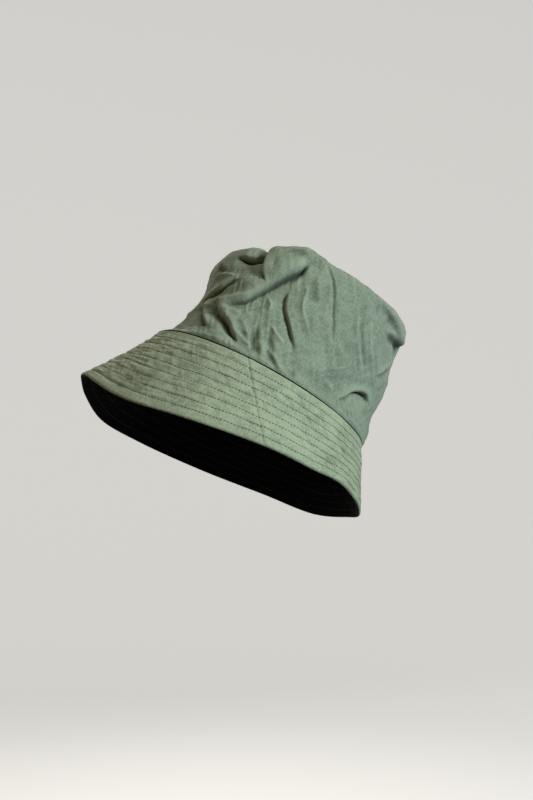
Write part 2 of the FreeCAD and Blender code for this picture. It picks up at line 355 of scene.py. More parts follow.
def fold_shift(x, y, fold):
    """How one fold moves the cloth: outwards, and along it in x and y."""
    path = fold_path(fold["path"])
    hollow_reach, cliff_reach = (side * MM for side in fold["reach"])
    margin = 4 * max(hollow_reach, cliff_reach)
    low, high = path.min(axis=0) - margin, path.max(axis=0) + margin
    near = (x > low[0]) & (x < high[0]) & (y > low[1]) & (y < high[1])
    out, slide = np.zeros(x.shape), np.zeros(x.shape + (2,))
    if not near.any():
        return out, slide
    distance, share, across = distance_to_path(x[near], y[near], path)
    taper = smooth(share, 0, fold["tips"][0]) * smooth(1 - share, 0, fold["tips"][1])
    start, end = fold["ends"]
    width = fold["width"] * MM * (start + (end - start) * share) * (0.55 + 0.45 * taper)
    hollow, cliff = fold["hollow"], fold["cliff"]
    step = 1 / (1 + np.exp(-2.4 * distance / width))
    reach = np.where(distance > 0, cliff_reach, hollow_reach)
    fade = np.exp(-(np.sqrt(distance ** 2 + width ** 2) - width) / reach)
    foot = distance + (0.9 * width if hollow else 0)
    crease = np.exp(-np.abs(foot / width) ** 1.7)
    out[near] = (((hollow + cliff) * step - hollow) * fade - fold["depth"] * crease) * MM * taper
    drawn = bell(distance, 0.8 * width, 2.0 * width)
    slide[near] = -across * (fold["pull"] * MM * taper * drawn)[:, None]
    return out, slide


def loose_folds(count, seed):
    """Soft folds over the rest of the crown, running the way the cloth hangs."""
    draw = np.random.default_rng(seed)
    folds = []
    for number in range(count):
        azimuth = 166 + (number + draw.uniform(-0.3, 0.3)) * 180 / count
        height = draw.uniform(34, 94)
        length = draw.uniform(26, 60)
        lean = 16 * math.cos(math.radians(azimuth - 75)) + draw.uniform(-9, 9)
        path = [(azimuth - lean * 0.5, height), (azimuth + draw.uniform(-2, 2), height - length * 0.5),
                (azimuth + lean * 0.5, height - length)]
        folds.append(wall(path, draw.uniform(2.8, 5.0), draw.uniform(0.6, 2.4), draw.uniform(0.6, 2.2),
                          (draw.uniform(6, 12), draw.uniform(6, 12))))
    return folds


def crown_slump(azimuth, along):
    """The large changes of shape, as a move outwards and a move up."""
    high = smooth(along, 55 * MM, 100 * MM)
    front = smooth(turn(azimuth, 0), -80, -25) * (1 - smooth(turn(azimuth, 0), 29, 39))
    out = np.zeros(azimuth.shape)
    up = -9.0 * MM * front * high
    for place, height, around, tall, outwards, upwards in SHAPES:
        weight = bell(turn(azimuth, place), 0, around)
        if height > 90:
            weight = weight * smooth(along, (height - 2 * tall) * MM, (height - 2) * MM)
        else:
            weight = weight * bell(along, height * MM, tall * MM)
        out += outwards * MM * weight
        up += upwards * MM * weight
    rim = PROFILE_SHARE[:, None] ** 1.6
    return out * rim, up * rim - 2.5 * MM * (1 - rim)


def crown_surface():
    """The crown's outer surface as a grid, with the small relief that creases the cloth."""
    base, azimuth = crown_base()
    normal = normals_of(base)
    along = np.broadcast_to(PROFILE_ALONG[:, None], azimuth.shape)
    x, y = np.radians(azimuth) * CROWN_RADIUS, along
    on_side = 1 - smooth(along, 106 * MM, 118 * MM)
    at_seam = smooth(along, 0, 5 * MM)
    out, up = crown_slump(azimuth, along)
    out = out * at_seam
    folded = np.zeros(x.shape)
    slide = np.zeros(x.shape + (2,))
    for fold in list(FOLDS) + loose_folds(18, 7):
        for lap in (-CROWN_ROUND, 0, CROWN_ROUND):
            fold_out, fold_slide = fold_shift(x + lap, y, fold)
            folded += fold_out
            slide += fold_slide
    rim = PROFILE_SHARE[:, None] ** 2
    flat_noise = smooth_noise(base[..., 0] / (26 * MM) + 40, base[..., 1] / (26 * MM) + 40, 9)
    sharp_noise = 0.4 - np.abs(smooth_noise(base[..., 0] / (15 * MM) + 40, base[..., 1] / (19 * MM) + 40, 10))
    on_tip = (0.9 * flat_noise + 0.9 * sharp_noise) * MM * (1 - rim)
    folded = (folded * on_side + wrinkles(azimuth, along) * rim + on_tip) * at_seam + seam_relief(x, y)
    slide *= (on_side * at_seam)[..., None]
    tangent = np.roll(base, -1, axis=1) - np.roll(base, 1, axis=1)
    tangent /= np.linalg.norm(tangent, axis=2, keepdims=True)
    upward = np.cross(normal, tangent)
    points = base + draped_shift(base, azimuth, along)
    folded[TIP_SEAM] -= 0.7 * MM
    points += normal * (out + folded)[..., None]
    points += tangent * slide[..., :1] + upward * slide[..., 1:]
    points[..., 2] += up
    return points, azimuth, along, folded


def wrinkles(azimuth, along):
    """Small unevenness all over: soft waves that hang with the cloth, and a fine crumple."""
    x, y = np.radians(azimuth) * CROWN_RADIUS, along
    soft, mid, small, crossed, fine = (
        smooth_noise((x + y * lean) / CROWN_ROUND * cells, y / (tall * MM), seed, cells)
        for lean, cells, tall, seed in ((0.35, 32, 45, 3), (0.35, 56, 24, 4), (0.5, 112, 14, 6),
                                        (-0.9, 96, 19, 8), (0, 128, 5, 5)))
    sharp = 0.5 - np.abs(small) + 0.8 * (0.5 - np.abs(crossed))
    pressed = 1 + 1.2 * bell(turn(azimuth, 54), 0, 26) * bell(along, 22 * MM, 28 * MM)
    return (0.5 * soft + 0.5 * mid + 0.55 * sharp * pressed + 0.12 * fine) * MM


# ---------------------------------------- draping by simulation

COARSE_ROW_STEP = 3
COARSE_ROWS = list(range(0, TIP_SEAM + 28, COARSE_ROW_STEP))
COARSE_STEP = 4
DRAPE_FRAMES = 30


def resample(values, places, closed=False):
    """Smooth values between the rows of an array, at fractional row numbers."""
    count = len(values)
    whole = np.floor(places).astype(int)
    t = (places - whole).reshape((-1,) + (1,) * (values.ndim - 1))

    def at(step):
        index = whole + step
        return values[index % count if closed else np.clip(index, 0, count - 1)]

    return curve_between(at(-1), at(0), at(1), at(2), t)


def head_form():
    """A plain rounded form inside the crown, which holds the cloth up while it is draped."""
    rows, turns = 20, 48
    level = np.linspace(-0.6, 1.0, rows)[:, None] * math.pi / 2
    angle = np.linspace(0, 2 * np.pi, turns, endpoint=False)[None, :]
    points = np.stack([68 * MM * np.cos(level) * np.sin(angle),
                       6 * MM - 78 * MM * np.cos(level) * np.cos(angle),
                       22 * MM + 78 * MM * np.sin(level) + 0 * angle], axis=2)
    form = add_mesh("head_form", points.reshape(-1, 3), grid_faces(rows, turns, closed=True))
    form.modifiers.new("collision", "COLLISION")
    form.collision.thickness_outer = 1.5 * MM
    form.collision.cloth_friction = 8
    return form


def drape(points, faces, held_count):
    """Lets a coarse cloth settle over the head form, and gives where its points come to rest. Its
    first points are sewn to the brim, and the others are held only a little."""
    mesh = bpy.data.meshes.new("drape")
    mesh.from_pydata(points.tolist(), [], faces)
    cloth = bpy.data.objects.new("drape", mesh)
    bpy.context.collection.objects.link(cloth)
    held = cloth.vertex_groups.new(name="held")
    held.add(list(range(held_count)), 1.0, "REPLACE")
    held.add(list(range(held_count, len(points))), 0.02, "REPLACE")
    form = head_form()
    modifier = cloth.modifiers.new("cloth", "CLOTH")
    settings = modifier.settings
    settings.quality = 6
    settings.mass = 0.002
    settings.tension_stiffness = settings.compression_stiffness = 12
    settings.shear_stiffness = 6
    settings.bending_stiffness = 0.15
    settings.tension_damping = settings.compression_damping = 8
    settings.vertex_group_mass = "held"
    settings.pin_stiffness = 1
    settings.shrink_min = -0.035
    settings.air_damping = 2
    modifier.collision_settings.distance_min = 1 * MM
    modifier.collision_settings.use_self_collision = False
    modifier.point_cache.frame_start, modifier.point_cache.frame_end = 1, DRAPE_FRAMES
    scene = bpy.context.scene
    gravity = tuple(scene.gravity)
    scene.gravity = DOWN * 9.81
    for number in range(1, DRAPE_FRAMES + 1):
        scene.frame_set(number)
    settled = cloth.evaluated_get(bpy.context.evaluated_depsgraph_get()).to_mesh()
    moved = np.empty(len(settled.vertices) * 3, dtype=np.float32)
    settled.vertices.foreach_get("co", moved)
    cloth.to_mesh_clear()
    scene.frame_set(1)
    scene.gravity = gravity
    for piece in (cloth, form):
        data = piece.data
        bpy.data.objects.remove(piece)
        bpy.data.meshes.remove(data)
    return moved.reshape(-1, 3)


def draped_shift(base, azimuth, along):
    """How far each point of the crown moves when the cloth is simulated, worn and tilted back."""
    coarse = base[COARSE_ROWS][:, ::COARSE_STEP]
    rows, columns = coarse.shape[:2]
    points = np.concatenate([coarse.reshape(-1, 3), base[-1].mean(axis=0)[None]])
    jitter = np.random.default_rng(5).uniform(-0.25, 0.25, (len(points), 3)) * MM
    jitter[:2 * columns] = 0
    last_ring = (rows - 1) * columns + np.arange(columns)
    fan = np.stack([last_ring, np.roll(last_ring, -1), np.full(columns, rows * columns)], axis=1)
    faces = grid_faces(rows, columns, closed=True).tolist() + fan.tolist()
    shift = drape(points + jitter, faces, 2 * columns) - points
    grid = blur(shift[:-1].reshape(rows, columns, 3), 1)
    grid = np.concatenate([grid, np.broadcast_to(shift[-1], (1, columns, 3))])
    number, last = np.arange(len(base)), COARSE_ROWS[-1]
    places = np.where(number > last, rows - 1 + (number - last) / (len(base) - 1 - last),
                      number / COARSE_ROW_STEP)
    grid = resample(grid, places)
    places = np.arange(COLUMNS) / COARSE_STEP
    grid = resample(grid.transpose(1, 0, 2), places, closed=True).transpose(1, 0, 2)
    limit = 9 * MM
    grid = grid * (limit / np.maximum(np.linalg.norm(grid, axis=2, keepdims=True), limit))
    # The middle of the tip moves as one with the ring round it.
    middle = smooth(PROFILE_ALONG, 122 * MM, 146 * MM)[:, None, None]
    ring = int(np.argmax(PROFILE_ALONG > 130 * MM))
    grid = grid * (1 - middle) + grid[ring].mean(axis=0) * middle
    # On the near side the placed folds count for more than the drape.
    near = smooth(turn(azimuth, 68), -108, -84) * (1 - smooth(turn(azimuth, 68), 110, 130))
    near = near * (1 - smooth(along, 118 * MM, 150 * MM))
    return grid * (1 - 0.7 * near)[..., None]


def columns_from(seam):
    """Signed number of columns from a seam, the shorter way round."""
    return (np.arange(COLUMNS) - seam + COLUMNS / 2) % COLUMNS - COLUMNS / 2


def seam_relief(x, y):
    """The side seams' line on the crown, and the rounded foot of the crown at the brim."""
    relief = np.zeros(x.shape)
    for seam in SEAM_COLUMNS:
        relief -= 0.18 * MM * bell(columns_from(seam), 0, 1.2)[None, :] * (y < SIDE_TOP)
    relief += 0.6 * MM * bell(y, 3.2 * MM, 2.2 * MM) - 0.2 * MM * bell(y, 0, 0.9 * MM)
    return relief


# ---------------------------------------- the brim's surface

# How far the brim's edge is lifted (mm) at a few azimuths: the cloth brim isn't quite flat.
EDGE_LIFT = ((-66, -2.5), (-48, -3.5), (-34, -1), (-21, 5), (-10, 11), (2, 11), (14, 5.5), (27, -0.5),
             (40, -3.5), (58, -2), (74, 0.5), (92, 3.5), (108, 4.5), (122, 7), (138, 4), (156, 0),
             (180, 1.5), (205, -1.5), (232, 1.5), (262, 0))


def edge_lift(azimuth):
    """Smooth closed curve through the edge's lifts."""
    places, lifts = np.array(EDGE_LIFT, dtype=float).T
    turned = (azimuth - places[0]) % 360
    order = np.interp(turned, np.append(places - places[0], 360), np.arange(len(places) + 1))
    return resample(lifts * MM, order.ravel(), closed=True).reshape(azimuth.shape)


def brim_shares():
    """Shares of the brim's depth for the grid's rows, from the seam to the edge: even between
    the rows of stitches, and closer and closer towards the rounded edge."""
    even = np.arange(ROW_COUNT * STEPS_PER_ROW) / STEPS_PER_ROW
    last = ROW_COUNT + np.sin(np.linspace(0, math.pi / 2, STEPS_PER_ROW + 1))
    return TAPE_SHARE + (1 - TAPE_SHARE) * np.concatenate([even, last]) / (ROW_COUNT + 1)


def brim_base():
    share = brim_shares()
    length = HEAD_HALF_LENGTH + (EDGE_HALF_LENGTH - HEAD_HALF_LENGTH) * share
    seam_y = SEAM_MID_Y + (SEAM_EDGE_Y - SEAM_MID_Y) * share
    angle = column_angles(seam_angle(length, EDGE_SHIFT * share, seam_y))
    azimuth = np.degrees(angle)
    unsteady = smooth_noise(azimuth / 360 * 40, share[:, None] * 9 + 0 * azimuth, 18, 40)
    place = share[:, None] + unsteady * 0.55 * MM / EDGE_DROP * (4 * share * (1 - share))[:, None]
    width = HEAD_HALF_WIDTH + (EDGE_HALF_WIDTH - HEAD_HALF_WIDTH) * place
    length = HEAD_HALF_LENGTH + (EDGE_HALF_LENGTH - HEAD_HALF_LENGTH) * place
    drop = EDGE_DROP * place + EDGE_RISE * place * np.cos(angle)
    far = place ** 1.6
    tip = (6.0 * bell(turn(azimuth, -4), 0, 15) - 3.5 * bell(turn(azimuth, -34), 0, 11)) * MM * far
    points = np.stack([width * np.sin(angle), EDGE_SHIFT * place - (length + tip) * np.cos(angle), -drop],
                      axis=2)
    points[..., 2] += edge_lift(azimuth) * far
    return points, azimuth, share


def brim_relief(azimuth, share):
    """Quilting: the cloth is drawn in at each row of stitches, and puffs and puckers between."""
    phase = (share - share[0]) / (share[-1] - share[0]) * (ROW_COUNT + 1)
    within = phase - np.floor(phase)
    to_row = np.minimum(within, 1 - within)
    rows_here = (phase > 0.5) & (phase < ROW_COUNT + 0.5)
    at_row = np.where(rows_here, np.exp(-(to_row / 0.075) ** 2), 0)
    puff = np.sin(np.pi * np.clip(within, 0, 1)) ** 0.7
    around = np.radians(azimuth) * BRIM_RADIUS
    down = phase[:, None] * 8.1 * MM + 0 * around
    channel = np.floor(phase)[:, None] + 0 * around
    front = 1 - smooth(np.abs(turn(azimuth, 5)), 45, 95)

    def waves(lean, cells, tall, seed):
        return smooth_noise((around + down * lean) / BRIM_ROUND * cells, down / (tall * MM), seed, cells)

    ripples = 0.5 * waves(0.3, 60, 2.3, 11) + 0.5 * (0.5 - np.abs(waves(0.4, 80, 3.4, 17)))
    slanted = 0.4 - np.abs(waves(-0.85, 128, 17, 12))
    crossed = waves(0.5, 100, 11, 15)
    pucker = smooth_noise((around + channel * 17.3 * MM) / BRIM_ROUND * 120, channel * 3.1, 16, 120)
    broad = waves(0, 22, 24, 13)
    quilted = smooth(phase, 0.2, 0.7) * (1 - 0.75 * smooth(phase, ROW_COUNT + 0.1, ROW_COUNT + 0.6))
    relief = (ripples * (0.3 + 0.7 * front) + 0.8 * slanted * (1 - 0.5 * front)
              + 0.25 * crossed + 0.3 * pucker * puff[:, None]) * quilted[:, None]
    relief = relief + 0.24 * puff[:, None] - 0.3 * at_row[:, None] + 0.35 * broad
    relief = relief * smooth(share, 0.0, 0.03)[:, None]
    relief = relief + 0.45 * bell(share, 0.034, 0.02)[:, None] + 0.45 * bell(share, 0.021, 0.008)[:, None]
    for seam in SEAM_COLUMNS:
        steps = columns_from(seam)[None, :]
        relief = relief - 0.5 * bell(steps, 0, 1.0) + 0.25 * bell(steps, 5, 3.5)
    return relief * MM


def brim_surface():
    base, azimuth, share = brim_base()
    normal = -normals_of(base)
    return base, normal, brim_relief(azimuth, share), azimuth, share


# ---------------------------------------- meshes

def add_mesh(name, points, faces, uv=None, crease=None):
    """A smooth mesh; faces is one array of corner numbers, or a list with one for each kind."""
    mesh = bpy.data.meshes.new(name)
    mesh.vertices.add(len(points))
    mesh.vertices.foreach_set("co", np.asarray(points, dtype=np.float32).ravel())
    kinds = faces if isinstance(faces, list) else [faces]
    loops = np.concatenate([kind.ravel() for kind in kinds]).astype(np.int32)
    sizes = np.concatenate([np.full(len(kind), kind.shape[1]) for kind in kinds])
    mesh.loops.add(len(loops))
    mesh.loops.foreach_set("vertex_index", loops)
    mesh.polygons.add(len(sizes))
    mesh.polygons.foreach_set("loop_start", (np.cumsum(sizes) - sizes).astype(np.int32))
    mesh.update(calc_edges=True)
    mesh.polygons.foreach_set("use_smooth", np.ones(len(sizes), dtype=bool))
    if uv is not None:
        layer = mesh.uv_layers.new(name="cloth")
        layer.data.foreach_set("uv", np.asarray(uv, dtype=np.float32)[loops].ravel())
    if crease is not None:
        attribute = mesh.attributes.new("crease", "FLOAT", "POINT")
        attribute.data.foreach_set("value", np.asarray(crease, dtype=np.float32).ravel())
    mesh.validate()
    piece = bpy.data.objects.new(name, mesh)
    bpy.context.collection.objects.link(piece)
    return piece


def grid_faces(rows, columns, start=0, flip=False, closed=False):
    row = np.arange(rows - 1)[:, None]
    column = np.arange(columns if closed else columns - 1)[None, :]
    following = (column + 1) % columns
    a = start + row * columns + column
    b = start + row * columns + following
    c = start + (row + 1) * columns + following
    d = start + (row + 1) * columns + column
    order = (d, c, b, a) if flip else (a, b, c, d)
    return np.stack(order, axis=-1).reshape(-1, 4)


def sheet(name, outer, inner, uv, crease=None, closed=False):
    """A closed sheet of cloth between two grids of the same size."""
    rows, columns = outer.shape[:2]
    count = rows * columns
    index = np.arange(count).reshape(rows, columns)
    faces = [grid_faces(rows, columns, closed=closed), grid_faces(rows, columns, count, True, closed)]
    borders = [index[0], index[-1][::-1]]
    if closed:
        borders = [np.append(border, border[0]) for border in borders]
    else:
        borders += [index[::-1, 0], index[:, -1]]
    for border in borders:
        faces.append(np.stack([border[:-1] + count, border[1:] + count, border[1:], border[:-1]], axis=1))
    points = np.concatenate([outer.reshape(-1, 3), inner.reshape(-1, 3)])
    both_uv = np.concatenate([uv.reshape(-1, 2)] * 2)
    both_crease = None if crease is None else np.concatenate([crease.ravel()] * 2)
    piece = add_mesh(name, points, np.concatenate(faces), both_uv, both_crease)
    sharpen(piece.data, [(border[:-1] + side, border[1:] + side)
                         for border in borders for side in (0, count)])
    return piece


def sharpen(mesh, chains):
    """Marks edges as sharp, so that a sheet's thin border doesn't round its shading."""
    ends = np.empty(len(mesh.edges) * 2, dtype=np.int32)
    mesh.edges.foreach_get("vertices", ends)
    ends = np.sort(ends.reshape(-1, 2), axis=1).astype(np.int64)
    keys = ends[:, 0] * len(mesh.vertices) + ends[:, 1]
    wanted = []
    for first, second in chains:
        pair = np.sort(np.stack([first, second], axis=1), axis=1).astype(np.int64)
        wanted.append(pair[:, 0] * len(mesh.vertices) + pair[:, 1])
    attribute = mesh.attributes.new("sharp_edge", "BOOLEAN", "EDGE")
    attribute.data.foreach_set("value", np.isin(keys, np.concatenate(wanted)))


def panel_columns(half):
    """Column numbers of one panel, with the seam's column at both of its ends."""
    if half == "front":
        return np.arange(0, FRONT_COLUMNS + 1)
    return np.arange(FRONT_COLUMNS, COLUMNS + 1) % COLUMNS


def dress(piece, material, node):
    piece.data.materials.append(material)
    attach(piece, "root")
    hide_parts(node)


# ---------------------------------------- stitches

STITCH_SIDES = 6
STITCH_RINGS = 5


def stitch_faces():
    """Faces of one stitch: the bar's quads, and triangles to the point at each of its ends."""
    following = (np.arange(STITCH_SIDES) + 1) % STITCH_SIDES
    quads, triangles = [], []
    for side, after in enumerate(following):
        for low in range(0, (STITCH_RINGS - 1) * STITCH_SIDES, STITCH_SIDES):
            high = low + STITCH_SIDES
            quads.append((low + side, low + after, high + after, high + side))
        last = (STITCH_RINGS - 1) * STITCH_SIDES
        first_end = STITCH_RINGS * STITCH_SIDES
        triangles += [(first_end, after, side), (first_end + 1, last + side, last + after)]
    return np.array(quads), np.array(triangles)


def stitches(name, lines, radius, pitch, fill=0.78, lift=0.2 * MM):
    """Separate stitches along lines; a line is (points, normals), each a closed loop or a run.
    Every stitch is a small round bar that dips into the cloth at both ends."""
    ring_angle = np.linspace(0, 2 * np.pi, STITCH_SIDES, endpoint=False)
    ring_share = np.linspace(0, 1, STITCH_RINGS)
    blocks = []
    for points, normals in lines:
        step = np.linalg.norm(np.diff(points, axis=0), axis=1)
        travelled = np.concatenate([[0], np.cumsum(step)])
        count = int(travelled[-1] / pitch)
        real_pitch = travelled[-1] / count
        begin = (np.arange(count) + (1 - fill) / 2) * real_pitch
        place = begin[:, None] + ring_share[None, :] * fill * real_pitch
        centre, normal = (np.stack([np.interp(place, travelled, field[:, axis]) for axis in range(3)], axis=2)
                          for field in (points, normals))
        normal /= np.linalg.norm(normal, axis=2, keepdims=True)
        way = np.gradient(centre, axis=1)
        way /= np.linalg.norm(way, axis=2, keepdims=True)
        side = np.cross(way, normal)
        arch = np.sin(np.pi * ring_share)[None, :, None]
        thick = radius * (0.55 + 0.45 * arch)
        centre = centre + normal * (lift * arch - 0.5 * radius * (1 - arch))
        ring = (centre[:, :, None] + side[:, :, None] * (np.cos(ring_angle)[:, None] * thick[..., None])
                + normal[:, :, None] * (np.sin(ring_angle)[:, None] * thick[..., None]))
        blocks.append(np.concatenate([ring.reshape(count, -1, 3), centre[:, [0, -1]]], axis=1))
    blocks = np.concatenate(blocks)
    first = np.arange(len(blocks))[:, None, None] * blocks.shape[1]
    faces = [(shape[None] + first).reshape(-1, shape.shape[1]) for shape in stitch_faces()]
    return add_mesh(name, blocks.reshape(-1, 3), faces)


# ---------------------------------------- materials

def add_node(tree, kind, inputs=None, **settings):
    node = tree.nodes.new(kind)
    for key, value in settings.items():
        setattr(node, key, value)
    for key, value in (inputs or {}).items():
        if isinstance(value, bpy.types.NodeSocket):
            tree.links.new(value, node.inputs[key])
        else:
            node.inputs[key].default_value = value
    return node


def math_node(tree, operation, *values, clamp=False):
    node = add_node(tree, "ShaderNodeMath", dict(enumerate(values)), operation=operation, use_clamp=clamp)
    return node.outputs[0]


def colour_mix(tree, factor, first, second, blend="MIX"):
    node = add_node(tree, "ShaderNodeMix", data_type="RGBA", blend_type=blend)
    for name, kind, value in (("Factor", "VALUE", factor), ("A", "RGBA", first), ("B", "RGBA", second)):
        socket = next(s for s in node.inputs if s.name == name and s.type == kind)
        if isinstance(value, bpy.types.NodeSocket):
            tree.links.new(value, socket)
        else:
            socket.default_value = value
    return next(s for s in node.outputs if s.type == "RGBA")


def noise(tree, place, scale, detail, distortion=0.0):
    inputs = {"Vector": place, "Scale": scale, "Detail": detail, "Distortion": distortion}
    return add_node(tree, "ShaderNodeTexNoise", inputs).outputs["Fac"]


def stretched_noise(tree, u, v, cells_u, cells_v):
    """Noise whose cells are cells_u and cells_v to the metre along the cloth's two threads."""
    place = add_node(tree, "ShaderNodeCombineXYZ",
                     {0: math_node(tree, "MULTIPLY", u, cells_u), 1: math_node(tree, "MULTIPLY", v, cells_v)})
    return noise(tree, place.outputs[0], 1.0, 2.0)


def new_material(name):
    """A material, its node tree and its shader."""
    material = bpy.data.materials.new(name)
    material.use_nodes = True
    return material, material.node_tree, material.node_tree.nodes["Principled BSDF"]


def shade(colour, share):
    return [channel * share for channel in colour] + [1.0]


def cloth_material(name, colour, thread=0.42 * MM, crumple=0.25 * MM, sheen=0.12, specular=0.22):
    """Plain-weave cotton: weave, uneven threads, patchy dye and fine crumple."""
    material, tree, shader = new_material(name)
    uv = add_node(tree, "ShaderNodeUVMap", uv_map="cloth")
    split = add_node(tree, "ShaderNodeSeparateXYZ", {0: uv.outputs[0]})
    u, v = split.outputs[0], split.outputs[1]
    place = add_node(tree, "ShaderNodeTexCoord").outputs["Object"]

    # The colour: darker and paler threads, grains, patches and clouds of dye, plus painted light and shade
    # from the crease attribute, paler on the folds' ridges and darker in their hollows.
    warp, weft = stretched_noise(tree, u, v, 1300, 90), stretched_noise(tree, u, v, 90, 1300)
    threads = math_node(tree, "ADD", warp, weft)
    crease = add_node(tree, "ShaderNodeAttribute", attribute_name="crease").outputs["Fac"]
    tone = 0.5
    for field, middle, gain in ((threads, 1.0, 1.1), (noise(tree, place, 620, 2), 0.5, 1.6),
                                (noise(tree, place, 60, 4), 0.5, 0.9), (noise(tree, place, 11, 1), 0.5, 0.5),
                                (crease, 0.0, 2.0)):
        tone = math_node(tree, "MULTIPLY_ADD", math_node(tree, "SUBTRACT", field, middle), gain, tone)
    tone = math_node(tree, "ADD", tone, 0.0, clamp=True)
    # Painted shade: a further darkening of the colour in the folds' hollows, where the crease attribute is
    # low.
    painted_fold_shade = math_node(tree, "MULTIPLY_ADD", crease, 1.2, 1.0, clamp=True)
    base = colour_mix(tree, tone, shade(colour, 0.72), shade(colour, 1.28))
    tree.links.new(colour_mix(tree, 1.0, base, painted_fold_shade, blend="MULTIPLY"), shader.inputs["Base Color"])

    # The relief: the weave and its uneven threads, on a coarser crumple.
    turns = math.pi / thread
    waves = [math_node(tree, "SINE", math_node(tree, "MULTIPLY", axis, turns)) for axis in (u, v)]
    relief = math_node(tree, "MULTIPLY_ADD", math_node(tree, "MULTIPLY", *waves), 0.25, threads)
    coarse = add_node(tree, "ShaderNodeBump", {"Height": noise(tree, place, 160, 3, 0.6),
                                               "Distance": crumple * 4, "Strength": 0.5})
    fine = add_node(tree, "ShaderNodeBump", {"Height": relief, "Distance": 0.12 * MM, "Strength": 0.6,
                                             "Normal": coarse.outputs[0]})
    tree.links.new(fine.outputs[0], shader.inputs["Normal"])
    rough = math_node(tree, "MULTIPLY_ADD", threads, 0.08, 0.8)
    tree.links.new(rough, shader.inputs["Roughness"])
    shader.inputs["Specular IOR Level"].default_value = specular
    shader.inputs["Sheen Weight"].default_value = sheen
    shader.inputs["Sheen Roughness"].default_value = 0.45
    return material


def thread_material(name, colour):
    """Twisted sewing thread."""
    material, tree, shader = new_material(name)
    place = add_node(tree, "ShaderNodeTexCoord").outputs["Object"]
    twist = add_node(tree, "ShaderNodeTexWave", {"Vector": place, "Scale": 900.0, "Distortion": 2.0},
                     bands_direction="DIAGONAL").outputs["Fac"]
    base = colour_mix(tree, twist, shade(colour, 0.75), shade(colour, 1.2))
    tree.links.new(base, shader.inputs["Base Color"])
    bump = add_node(tree, "ShaderNodeBump", {"Height": twist, "Distance": 0.05 * MM, "Strength": 0.6})
    tree.links.new(bump.outputs[0], shader.inputs["Normal"])
    shader.inputs["Roughness"].default_value = 0.7
    shader.inputs["Specular IOR Level"].default_value = 0.2
    return material


GREEN_CROWN = (0.208, 0.272, 0.206)
# The brim's green is a paler, yellower copy of the crown's: painted light on the up-facing brim.
LIT_GREEN_BRIM = (0.255, 0.320, 0.225)
# Black cloth of the brim's underside and the lining, set far darker than black cotton: partly painted shade,
# which makes the shaded underside of the brim as dark as a shadow.
SHADED_BLACK = (0.0022, 0.0022, 0.0023)

crown_cloth = cloth_material("crown_cotton", GREEN_CROWN)
# The brim's cloth, whose paler green paints in the light falling on the brim.
lit_brim_cloth = cloth_material("lit_brim_cotton", LIT_GREEN_BRIM)
black_cloth = cloth_material("black_cotton", SHADED_BLACK, sheen=0.0, specular=0.03)
canvas = cloth_material("interlining_canvas", (0.55, 0.53, 0.47), thread=0.8 * MM)
# Black tape cloth: the real tapes over the lining's side seams, and the painted shade of the strip at the
# crown's seam.
tape_and_seam_shade_cloth = cloth_material("seam_tape", (0.003,) * 3, thread=0.3 * MM, sheen=0.0, specular=0.03)
label_cloth = cloth_material("label_satin", (0.6, 0.59, 0.56), thread=0.25 * MM, crumple=0.1 * MM)
# Real green topstitching thread, coloured far darker than the cloth: painted shade for the sunken stitches
# and the holes at their ends.
green_thread = thread_material("green_thread", (0.045, 0.053, 0.032))
black_thread = thread_material("black_thread", (0.005, 0.005, 0.005))


# ---------------------------------------- the crown's pieces

def cloth_uv(azimuth, along):
    return np.stack([np.radians(azimuth) * CROWN_RADIUS, along], axis=2)


def build_crown():
    points, azimuth, along, folded = crown_surface()
    normal = normals_of(points)
    inner = points - normal * CLOTH
    uv = cloth_uv(azimuth, along)
    # Painted light and shade: the crease attribute, the cloth's height over its blurred surface, darkens the
    # colour in the folds' hollows and lightens it on their ridges.
    crease = np.clip((folded - blur(folded, 40)) / (5 * MM), -0.7, 0.25)
    for half in ("front", "back"):
        pick = np.ix_(np.arange(TIP_SEAM + 1), panel_columns(half))
        piece = sheet(f"crown_side_{half}_cloth", *(grid[pick] for grid in (points, inner, uv, crease)))
        dress(piece, crown_cloth, f"crown_side_{half}")
    outer, inner, crease = (grid[TIP_SEAM:] for grid in (points, inner, crease))
    tip = sheet("crown_tip_cloth", outer, inner, outer[..., :2], crease, closed=True)
    dress(tip, crown_cloth, "crown_tip")
    return points, azimuth, along


def lining_surface(points):
    """The black inner crown hangs inside the outer one, clear of its deepest folds."""
    middle = np.array([0, TIP_SHIFT])
    spoke = points[..., :2] - middle
    radius = np.linalg.norm(spoke, axis=2)
    height = points[..., 2]
    on_top = smooth(PROFILE_ALONG, 62 * MM, 100 * MM)[:, None]
    on_wall = 1 - smooth(PROFILE_ALONG, 104 * MM, 128 * MM)[:, None]
    around = np.arange(COLUMNS)[None, :] / COLUMNS * 34
    crumple = smooth_noise(around + 0 * radius, PROFILE_ALONG[:, None] / (19 * MM) + 0 * around, 21, 34)
    depth = LINING_DEPTH + 0.6 * MM * (1 + crumple) * smooth(PROFILE_ALONG, 0, 10 * MM)[:, None]
    inside = blur(radius, 10) * (1 - on_wall) + (blur(lowest_nearby(radius, 7), 8) - depth) * on_wall
    below = blur(height, 10) * (1 - on_top) + (blur(lowest_nearby(height, 8), 8) - 1.5 * depth) * on_top
    loose = np.concatenate([middle + spoke * (inside / radius)[..., None], below[..., None]], axis=2)
    foot = brim_layer(BRIM_THICKNESS - CLOTH, 0.0)[0]
    rise = smooth(PROFILE_ALONG, 0, 7 * MM)[:, None, None]
    loose = foot * (1 - rise) + loose * rise
    return loose, normals_of(blur(loose, 6))


